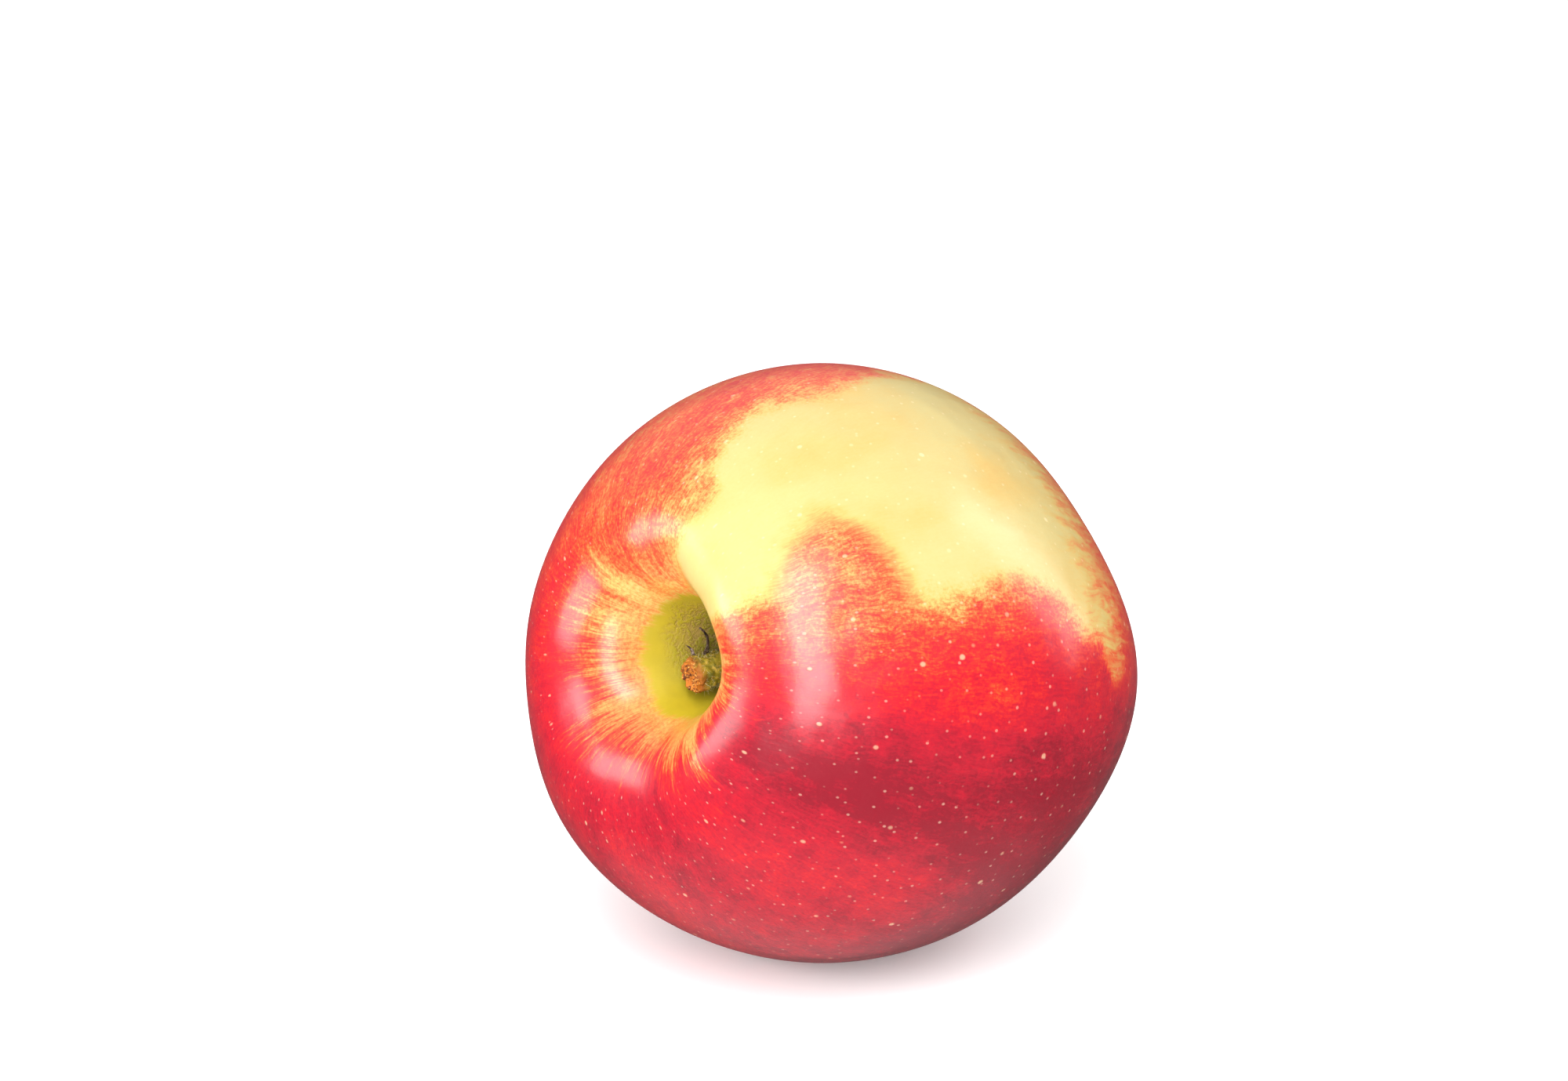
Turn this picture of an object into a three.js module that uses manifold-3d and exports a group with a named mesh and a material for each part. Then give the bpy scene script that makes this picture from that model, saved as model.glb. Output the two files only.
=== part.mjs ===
// An eating apple lying on its side. The fruit is one solid. Its short stem, with withered bracts,
// stands in the stem cavity, and the dried calyx, five sepals round a tuft of stamens, stands in the
// basin at the other end. Millimetres, +Z up, resting on the plane z = 0.

import * as THREE from 'three';
import { mergeVertices } from 'three/addons/utils/BufferGeometryUtils.js';
import Module from 'manifold-3d';

// The fruit's own frame has z along its axis, towards the stem, and z = 0 at the widest girth.
// Angles round the axis count from the side that it lies on, in degrees.

const rest = {
  lean: 75.2, // the axis from upright
  heading: -134.4, // the way that the stem end points, from +X
  flatDepth: 0.6, // of the small flat spot that it rests on
};

const fruit = {
  radius: 40, // at the widest girth
  shoulderHeight: 35.8, // crest of the shoulders above the girth
  baseHeight: 36.7, // crown of the base below the girth
  upperSwell: 17, // how long the flank stays wide above the girth
  lowerSwell: 21.8, // and below it
  segments: 68, // round the axis
};

const cavity = {
  crestRadius: 15.4, // where the shoulders are highest
  crestSwell: 10.4, // how far the crest stays level outwards
  lip: 6, // and inwards
  depth: 19,
  throatRadius: 8, // pulls the wall towards a steep throat
  throatHeight: 14,
  floorRadius: 3.5,
  floorRise: 2, // of the floor's rim
  offset: 5, // of the cavity's centre from the axis
  offsetAngle: 120,
  offsetReach: 20, // radius where the offset has died away
};

const basin = {
  crestRadius: 12.1,
  crestSwell: 12.2,
  lip: 5.5,
  depth: 8.5,
  floorRadius: 5.5, // pulls the floor flat
};

const lobes = {
  three: 0.024, // share of the radius, three round the girth
  threeAngle: 92.6,
  five: 0.009, // five, stronger towards the base
  fiveAngle: 28.9,
  crown: 0.9, // height of the five bumps round the basin
  shoulder: 0.45, // height of the five bumps round the cavity
  shoulderAngle: 125,
  lean: 0.004, // rise of one shoulder, per mm of radius
  leanAngle: 10,
};

const furrow = {
  depth: 1.6, // of the crease over one shoulder
  angle: 180,
  halfAngle: 14,
  radius: 11,
  reach: 6.5,
};

const gap = 0.3; // clearance between pieces that grow from one another

const stem = {
  radius: 1.95,
  rootRadius: 1.2,
  knobRadius: 2.2, // where it broke off the spur
  edge: 0.3, // worn off the knob's end
  length: 10.2,
  tipShift: 4.4, // sideways, from root to tip
  tipAngle: -32,
  sag: 0.5, // bow of its middle
};

// Each bract stands on the stem: the share of the stem's length below it, the side that it is on,
// how far it stands out, how far its middle bends down the stem and its tip up it, and the half
// width of its foot.
const bracts = [
  { along: 0.8, side: 195, out: 2.9, bend: 1.5, hook: 1.1, halfWidth: 0.42 },
  { along: 0.9, side: 208, out: 1.1, bend: 0, hook: 1.2, halfWidth: 0.3 },
  { along: 0.62, side: 188, out: 0.7, bend: 0, hook: 0.1, halfWidth: 0.34 },
];
const bractThickness = 0.5;

const sepal = {
  count: 5,
  ringRadius: 3.3, // of the ring of sepal roots
  length: 7,
  width: 2.9,
  thickness: 0.6,
  spread: 2.6, // how far the tip curls outwards
  pinch: 0.5, // how far the middle leans inwards
};

const stamens = {
  radius: 1.6,
  height: 3.4,
  ridges: 7,
  ridgeDepth: 0.18, // share of the radius
};

const materials = {
  skin: new THREE.MeshStandardMaterial({ color: '#b81f2b', roughness: 0.32, metalness: 0 }),
  stem: new THREE.MeshStandardMaterial({ color: '#7b7431', roughness: 0.8, metalness: 0 }),
  bract: new THREE.MeshStandardMaterial({ color: '#4b3f3d', roughness: 0.9, metalness: 0 }),
  sepal: new THREE.MeshStandardMaterial({ color: '#6d5b3f', roughness: 0.9, metalness: 0 }),
  stamens: new THREE.MeshStandardMaterial({ color: '#3c3025', roughness: 0.95, metalness: 0 }),
};

const wasm = await Module();
wasm.setup();

const radians = THREE.MathUtils.degToRad;
const clamp01 = (value) => THREE.MathUtils.clamp(value, 0, 1);

// One stretch of the fruit's outline, from radius and height pairs.
function stretch(points, steps) {
  const corners = points.map(([radius, height]) => new THREE.Vector2(radius, height));
  return new THREE.CubicBezierCurve(...corners).getPoints(steps);
}

// Half the fruit's outline, from the cavity's floor over the shoulder and flank to the basin's floor.
function outline() {
  const top = fruit.shoulderHeight;
  const base = -fruit.baseHeight;
  const floor = top - cavity.depth;
  const eye = base + basin.depth;
  const level = 0.3; // rise of the crest's handles, which keeps the lip round
  const floorRim = [cavity.floorRadius, floor + cavity.floorRise];
  const crest = [cavity.crestRadius, top];
  const girth = [fruit.radius, 0];
  const crown = [basin.crestRadius, base];
  const cavityFloor = stretch(
    [[0, floor], [cavity.floorRadius * 0.6, floor], [cavity.floorRadius * 0.85, floor + 0.3], floorRim],
    4,
  );
  const cavityWall = stretch(
    [
      floorRim,
      [cavity.throatRadius, floor + cavity.throatHeight],
      [cavity.crestRadius - cavity.lip, top - level],
      crest,
    ],
    10,
  );
  const shoulder = stretch(
    [
      crest,
      [cavity.crestRadius + cavity.crestSwell, top + (level * cavity.crestSwell) / cavity.lip],
      [fruit.radius, fruit.upperSwell],
      girth,
    ],
    12,
  );
  const flank = stretch(
    [girth, [fruit.radius, -fruit.lowerSwell], [basin.crestRadius + basin.crestSwell, base], crown],
    13,
  );
  const basinWall = stretch(
    [crown, [basin.crestRadius - basin.lip, base], [basin.floorRadius, eye], [0, eye]],
    8,
  );
  const joined = (part, i) => (i ? part.slice(1) : part);
  return [cavityFloor, cavityWall, shoulder, flank, basinWall].flatMap(joined);
}

// Moves a point of the round outline to where the lobes, the furrow and the off-centre cavity put it.
function shaped(radius, height, angle) {
  const down = clamp01((fruit.shoulderHeight - height) / (fruit.shoulderHeight + fruit.baseHeight));
  const up = 1 - down;
  const five = Math.cos(5 * (angle - radians(lobes.fiveAngle)));
  const girthScale =
    1 +
    lobes.three * Math.cos(3 * (angle - radians(lobes.threeAngle))) +
    lobes.five * (0.35 + down) * five;
  const crownRise = lobes.crown * five * down ** 4 * clamp01(radius / basin.crestRadius);
  const shoulderRise =
    lobes.shoulder *
    Math.cos(5 * (angle - radians(lobes.shoulderAngle))) *
    up ** 4 *
    clamp01(radius / cavity.crestRadius);
  const lean = lobes.lean * radius * Math.cos(angle - radians(lobes.leanAngle)) * up;
  const fromFurrow = Math.atan2(
    Math.sin(angle - radians(furrow.angle)),
    Math.cos(angle - radians(furrow.angle)),
  );
  const crease =
    furrow.depth *
    Math.exp(-((fromFurrow / radians(furrow.halfAngle)) ** 2)) *
    Math.exp(-(((radius - furrow.radius) / furrow.reach) ** 2)) *
    up ** 2;
  const hold = height > 0 ? clamp01(1 - radius / cavity.offsetReach) : 0;
  const shift = cavity.offset * THREE.MathUtils.smoothstep(hold, 0, 1);
  return new THREE.Vector3(
    radius * girthScale * Math.cos(angle) + shift * Math.cos(radians(cavity.offsetAngle)),
    radius * girthScale * Math.sin(angle) + shift * Math.sin(radians(cavity.offsetAngle)),
    height - crownRise + shoulderRise + lean - crease,
  );
}

// A lathe form in the fruit's frame, from an outline that runs from the top down, with a function
// that moves each of its points.
function turned(points, segments, move) {
  const geometry = new THREE.LatheGeometry(points.toReversed(), segments);
  geometry.rotateX(Math.PI / 2);
  const position = geometry.getAttribute('position');
  for (let i = 0; i < position.count; i += 1) {
    const [x, y, z] = [position.getX(i), position.getY(i), position.getZ(i)];
    const moved = move(Math.hypot(x, y), z, Math.atan2(y, x));
    position.setXYZ(i, moved.x, moved.y, moved.z);
  }
  return closed(geometry);
}

// Merges shared corners and drops the triangles that this leaves without any area.
function closed(geometry) {
  geometry.deleteAttribute('normal');
  geometry.deleteAttribute('uv');
  const merged = mergeVertices(geometry, 1e-4);
  const corners = merged.getIndex().array;
  const kept = [];
  for (let i = 0; i < corners.length; i += 3) {
    const [a, b, c] = corners.slice(i, i + 3);
    if (a !== b && b !== c && c !== a) kept.push(a, b, c);
  }
  merged.setIndex(kept);
  return merged;
}

function toSolid(geometry) {
  const vertProperties = new Float32Array(geometry.getAttribute('position').array);
  const triVerts = new Uint32Array(geometry.getIndex().array);
  return new wasm.Manifold(new wasm.Mesh({ numProp: 3, vertProperties, triVerts }));
}

function toGeometry(solid) {
  const mesh = solid.getMesh();
  const geometry = new THREE.BufferGeometry();
  geometry.setAttribute('position', new THREE.BufferAttribute(mesh.vertProperties, 3));
  geometry.setIndex(new THREE.BufferAttribute(mesh.triVerts, 1));
  return geometry;
}

// A closed solid along a curve. size(t) gives each elliptical section's half width, which lies
// along wide, and its half thickness.
function swept(curve, size, wide, steps, sides) {
  const points = [];
  const index = [];
  const ring = (i, j) => i * sides + (j % sides);
  for (let i = 0; i <= steps; i += 1) {
    const centre = curve.getPoint(i / steps);
    const along = curve.getTangent(i / steps);
    const across = wide.clone().addScaledVector(along, -wide.dot(along)).normalize();
    const through = new THREE.Vector3().crossVectors(along, across);
    const [halfWidth, halfThickness] = size(i / steps);
    for (let j = 0; j < sides; j += 1) {
      const angle = (2 * Math.PI * j) / sides;
      const point = centre
        .clone()
        .addScaledVector(across, halfWidth * Math.cos(angle))
        .addScaledVector(through, halfThickness * Math.sin(angle));
      points.push(point);
      if (i < steps) {
        index.push(ring(i, j), ring(i, j + 1), ring(i + 1, j + 1));
        index.push(ring(i, j), ring(i + 1, j + 1), ring(i + 1, j));
      }
    }
  }
  const start = points.push(curve.getPoint(0)) - 1;
  const end = points.push(curve.getPoint(1)) - 1;
  for (let j = 0; j < sides; j += 1) {
    index.push(start, ring(0, j + 1), ring(0, j));
    index.push(end, ring(steps, j), ring(steps, j + 1));
  }
  const geometry = new THREE.BufferGeometry().setFromPoints(points);
  geometry.setIndex(index);
  return geometry;
}

// A direction square to the axis, at an angle in degrees from the side that the fruit lies on.
function sideways(degrees) {
  return new THREE.Vector3(Math.cos(radians(degrees)), Math.sin(radians(degrees)), 0);
}

const axisUp = new THREE.Vector3(0, 0, 1);
const profile = outline();

function makeStemCurve() {
  const root = shaped(0, fruit.shoulderHeight - cavity.depth, 0);
  const tilt = Math.atan2(stem.tipShift, stem.length);
  root.z += gap + stem.rootRadius * Math.sin(tilt); // clears the low side of the tilted root
  const towards = sideways(stem.tipAngle);
  const tip = root.clone().addScaledVector(axisUp, stem.length).addScaledVector(towards, stem.tipShift);
  const middle = root.clone().lerp(tip, 0.45).addScaledVector(towards, -stem.sag);
  return new THREE.CatmullRomCurve3([root, middle, tip]);
}

const stemCurve = makeStemCurve();

// The stem's radius along it: a narrow root, an even shaft and a swollen end with a worn edge.
function stemRadius(t) {
  const { smoothstep } = THREE.MathUtils;
  const root = THREE.MathUtils.lerp(stem.rootRadius, stem.radius, smoothstep(t, 0, 0.22));
  const knob = (stem.knobRadius - stem.radius) * smoothstep(t, 0.55, 0.9);
  const edge = stem.edge * smoothstep(t, 0.92, 1);
  return root + knob - edge;
}

function makeStem() {
  const size = (t) => [stemRadius(t), stemRadius(t)];
  return swept(stemCurve, size, sideways(0), 16, 16);
}

function makeBract({ along, side, out, bend, hook, halfWidth }) {
  const outwards = sideways(side);
  const clear = stemRadius(along) + gap + bractThickness / 2;
  const foot = stemCurve.getPoint(along).addScaledVector(outwards, clear);
  const middle = foot.clone().addScaledVector(outwards, out * 0.65).addScaledVector(axisUp, -bend);
  const tip = foot.clone().addScaledVector(outwards, out).addScaledVector(axisUp, hook);
  const size = (t) => {
    const taper = 1 - 0.65 * t;
    return [halfWidth * taper, (bractThickness / 2) * taper];
  };
  return swept(new THREE.QuadraticBezierCurve3(foot, middle, tip), size, sideways(side + 90), 7, 8);
}

// Height of the basin's surface at a radius, read from the outline.
function basinHeight(radius) {
  const after = profile.findLastIndex((point) => point.x >= radius);
  const [outer, inner] = [profile[after], profile[after + 1]];
  return THREE.MathUtils.mapLinear(radius, outer.x, inner.x, outer.y, inner.y);
}

// One sepal, rooted on +X: it rises out of the basin, leans in and curls back at its tip.
function makeSepal() {
  const root = new THREE.Vector3(sepal.ringRadius, 0, 0);
  root.z = basinHeight(sepal.ringRadius + sepal.thickness) - gap - sepal.thickness / 2;
  const rise = (share, outwards) => new THREE.Vector3(root.x + outwards, 0, root.z - sepal.length * share);
  const curve = new THREE.CubicBezierCurve3(
    root,
    rise(0.45, -sepal.pinch),
    rise(0.9, -sepal.pinch * 0.5),
    rise(0.8, sepal.spread),
  );
  const size = (t) => {
    const taper = 1 - 0.92 * t ** 1.6;
    return [(sepal.width / 2) * taper, (sepal.thickness / 2) * (1 - 0.5 * t)];
  };
  return swept(curve, size, new THREE.Vector3(0, 1, 0), 9, 10);
}

// The withered stamens, closed up into one tuft on the basin's floor.
function makeStamens() {
  const foot = basinHeight(stamens.radius) - gap;
  const points = [
    [0, 0],
    [0.85, 0],
    [1, 0.12],
    [0.8, 0.45],
    [0.45, 0.85],
    [0, 1],
  ].map(([across, down]) => new THREE.Vector2(stamens.radius * across, foot - stamens.height * down));
  return turned(points, stamens.ridges * 4, (radius, height, angle) => {
    const scale = 1 - stamens.ridgeDepth * (0.5 - 0.5 * Math.cos(stamens.ridges * angle));
    return new THREE.Vector3(radius * scale * Math.cos(angle), radius * scale * Math.sin(angle), height);
  });
}

// The fruit in its lying pose, with the origin under the middle of its box, and its flat spot cut.
function makeFruit(lying) {
  const body = turned(profile, fruit.segments, shaped).applyMatrix4(lying.matrix);
  body.computeBoundingBox();
  const centre = body.boundingBox.getCenter(new THREE.Vector3());
  lying.position.set(-centre.x, -centre.y, -body.boundingBox.min.z - rest.flatDepth);
  body.translate(...lying.position);
  const slab = new THREE.BoxGeometry(4 * fruit.radius, 4 * fruit.radius, fruit.radius);
  slab.translate(0, 0, -fruit.radius / 2);
  return toGeometry(toSolid(body).subtract(toSolid(closed(slab))));
}

function addPiece(parent, name, geometry, material) {
  const mesh = new THREE.Mesh(geometry, material);
  mesh.name = name;
  parent.add(mesh);
  return mesh;
}

const apple = new THREE.Group();
const lying = new THREE.Group(); // the fruit's own frame, turned to how it lies
lying.rotation.set(0, radians(rest.lean), radians(rest.heading), 'ZYX');
lying.updateMatrix();
apple.add(lying);

addPiece(apple, 'fruit', makeFruit(lying), materials.skin);
addPiece(lying, 'stem', makeStem(), materials.stem);
bracts.forEach((bract, i) => addPiece(lying, `bract_${i + 1}`, makeBract(bract), materials.bract));
for (let i = 0; i < sepal.count; i += 1) {
  const mesh = addPiece(lying, `sepal_${i + 1}`, makeSepal(), materials.sepal);
  mesh.rotation.z = radians(lobes.fiveAngle) + (2 * Math.PI * i) / sepal.count;
}
addPiece(lying, 'dried_stamens', makeStamens(), materials.stamens);

export default apple;
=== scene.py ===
# An eating apple lying on its side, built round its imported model.
import ast
import math

import bmesh
import bpy
import numpy as np
from mathutils import Euler, Matrix, Vector, noise


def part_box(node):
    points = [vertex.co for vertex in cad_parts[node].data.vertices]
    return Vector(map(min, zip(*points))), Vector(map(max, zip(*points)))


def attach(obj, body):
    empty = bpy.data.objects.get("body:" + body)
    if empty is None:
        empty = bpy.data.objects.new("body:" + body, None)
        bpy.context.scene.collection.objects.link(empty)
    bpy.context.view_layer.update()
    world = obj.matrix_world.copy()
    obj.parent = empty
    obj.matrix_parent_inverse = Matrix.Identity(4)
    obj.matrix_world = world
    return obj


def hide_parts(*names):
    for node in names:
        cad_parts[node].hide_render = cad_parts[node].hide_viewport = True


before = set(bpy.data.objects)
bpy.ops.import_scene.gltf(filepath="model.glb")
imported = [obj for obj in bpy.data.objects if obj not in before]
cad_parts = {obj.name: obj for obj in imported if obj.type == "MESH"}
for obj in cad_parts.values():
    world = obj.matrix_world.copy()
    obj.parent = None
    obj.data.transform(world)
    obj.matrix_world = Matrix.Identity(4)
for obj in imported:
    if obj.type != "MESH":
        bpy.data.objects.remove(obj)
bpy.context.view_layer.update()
mm = 0.001


def toLinear(hexColour):
    # an sRGB colour such as "#a2001e" as the four linear values that a shader takes
    channels = [int(hexColour[i:i + 2], 16) / 255 for i in (1, 3, 5)]
    return [c / 12.92 if c <= 0.04045 else ((c + 0.055) / 1.055) ** 2.4 for c in channels] + [1.0]


def addNode(tree, kind, settings=None, links=None, output=0):
    # one node with its settings, its inputs linked or set, and one of its outputs given back
    node = tree.nodes.new(kind)
    for name, value in (settings or {}).items():
        setattr(node, name, value)
    for key, value in (links or {}).items():
        if isinstance(value, bpy.types.NodeSocket):
            tree.links.new(value, node.inputs[key])
        elif value is not None:
            node.inputs[key].default_value = value
    return node.outputs[output]


def formula(tree, text, known):
    # a written formula as a chain of maths nodes; functions have the nodes' own names
    signs = {ast.Add: "ADD", ast.Sub: "SUBTRACT", ast.Mult: "MULTIPLY", ast.Div: "DIVIDE", ast.Pow: "POWER"}
    smoothStep = {"data_type": "FLOAT", "interpolation_type": "SMOOTHSTEP", "clamp": True}

    def walk(part):
        if isinstance(part, ast.Constant):
            return float(part.value)
        if isinstance(part, ast.Name):
            return known[part.id]
        if isinstance(part, ast.UnaryOp):
            return walk(ast.BinOp(ast.Constant(0), ast.Sub(), part.operand))
        if isinstance(part, ast.BinOp):
            kind, values = signs[type(part.op)], (part.left, part.right)
        else:
            kind, values = part.func.id.upper(), part.args
        if kind == "SMOOTH":  # from 0 at the first value to 1 at the second
            low, high, value = map(walk, values)
            return addNode(tree, "ShaderNodeMapRange", smoothStep,
                           {"Value": value, 1: low, 2: high, 3: 0.0, 4: 1.0})
        return addNode(tree, "ShaderNodeMath", {"operation": kind}, dict(enumerate(map(walk, values))))

    return walk(ast.parse(text).body[0].value)


def newTree(name, sizes):
    # a Geometry Nodes tree with one named input for each size
    tree = bpy.data.node_groups.new(name, "GeometryNodeTree")
    tree.interface.new_socket("surface", in_out="INPUT", socket_type="NodeSocketGeometry")
    for name in sizes:
        tree.interface.new_socket(name, in_out="INPUT", socket_type="NodeSocketFloat")
    tree.interface.new_socket("material", in_out="INPUT", socket_type="NodeSocketMaterial")
    tree.interface.new_socket("geometry", in_out="OUTPUT", socket_type="NodeSocketGeometry")
    start = tree.nodes.new("NodeGroupInput")
    return tree, {socket.name: socket for socket in start.outputs if socket.name}


def runTree(name, tree, sizes, material, surface=None):
    # runs a tree, on a surface where it grows on one, and keeps the result as a plain mesh
    holder = bpy.data.objects.new(name, surface or bpy.data.meshes.new(name))
    bpy.context.scene.collection.objects.link(holder)
    modifier = holder.modifiers.new("shape", "NODES")
    modifier.node_group = tree
    for item in tree.interface.items_tree:
        if item.name in sizes:
            modifier[item.identifier] = float(sizes[item.name])
        elif item.name == "material":
            modifier[item.identifier] = material
    bpy.context.view_layer.update()
    graph = bpy.context.evaluated_depsgraph_get()
    mesh = bpy.data.meshes.new_from_object(holder.evaluated_get(graph), depsgraph=graph)
    holder.modifiers.remove(modifier)
    holder.data = mesh
    return holder


cameraSettings = {
    "lens": 85,  # mm
    "aim": (-6.4, 0.0, 56.8),  # mm, above the apple, which sits low in the frame
    "distance": 489.3,  # mm
    "elevation": 18,  # degrees, looking along +Y
    "nearest": 0.01, "farthest": 20,  # metres
}


def makeCamera(s):
    data = bpy.data.cameras.new("camera")
    data.lens = s["lens"]
    data.clip_start, data.clip_end = s["nearest"], s["farthest"]
    camera = bpy.data.objects.new("camera", data)
    bpy.context.scene.collection.objects.link(camera)
    tilt = math.radians(s["elevation"])
    away = Vector((0, -math.cos(tilt), math.sin(tilt)))
    camera.location = (Vector(s["aim"]) + away * s["distance"]) * mm
    camera.rotation_euler = (math.pi / 2 - tilt, 0, 0)
    bpy.context.scene.camera = camera
    print("camera set")


makeCamera(cameraSettings)


def keep(piece, slot, *nodes):
    # what every finished piece is told: it rides on the one body, and the nodes that it stands for are hidden; slot
    # is not used
    if nodes:
        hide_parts(*nodes)
    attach(piece, "root")


# Millimetres and degrees, in the fruit's own frame: its axis along z, its stem end up, z = 0 at
# the widest girth, and angles round the axis counted from the side that it lies on.
fruitSizes = {
    "girthRadius": 40, "shoulderHeight": 35.8, "baseHeight": 36.7,
    "upperSwell": 17, "lowerSwell": 21.8,
    "crestRadius": 15.4, "crestSwell": 10.4, "lip": 6, "level": 0.3,
    "cavityDepth": 19, "throatRadius": 8, "throatHeight": 14,
    "floorRadius": 3.5, "floorRise": 2,
    "cavityOffset": 5, "offsetAngle": 120, "offsetReach": 20,
    "crownRadius": 12.1, "crownSwell": 12.2, "crownLip": 5.5,
    "basinDepth": 8.5, "eyeRadius": 5.5,
    "threeLobes": 0.024, "threeAngle": 92.6,
    "fiveLobes": 0.009, "fiveAngle": 28.9,
    "crownBumps": 0.9, "shoulderBumps": 0.45, "shoulderAngle": 125,
    "leanRise": 0.004, "leanAngle": 10,
    "furrowDepth": 1.6, "furrowAngle": 180, "furrowWidth": 14, "furrowRadius": 11, "furrowReach": 6.5,
    "segmentsRound": 384, "segmentsAlong": 232,
}
restPose = {"lean": 75.2, "heading": -134.4}  # degrees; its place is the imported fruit's own
outlineSteps = 48  # in each curved stretch
oneSpot = 2e-6  # metres; points nearer than this are one, which closes the seam and the two poles

# Radius and height of the four corners of each curved stretch, from the cavity's floor outwards.
fruitOutline = [
    [("0", "floor"), ("floorRadius * 0.6", "floor"), ("floorRadius * 0.85", "floor + 0.3"),
     ("floorRadius", "floor + floorRise")],
    [("floorRadius", "floor + floorRise"), ("throatRadius", "floor + throatHeight"),
     ("crestRadius - lip", "shoulderHeight - level"), ("crestRadius", "shoulderHeight")],
    [("crestRadius", "shoulderHeight"),
     ("crestRadius + crestSwell", "shoulderHeight + level * crestSwell / lip"),
     ("girthRadius", "upperSwell"), ("girthRadius", "0")],
    [("girthRadius", "0"), ("girthRadius", "-lowerSwell"),
     ("crownRadius + crownSwell", "-baseHeight"), ("crownRadius", "-baseHeight")],
    [("crownRadius", "-baseHeight"), ("crownRadius - crownLip", "-baseHeight"), ("eyeRadius", "eye"), ("0", "eye")],
]


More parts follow.
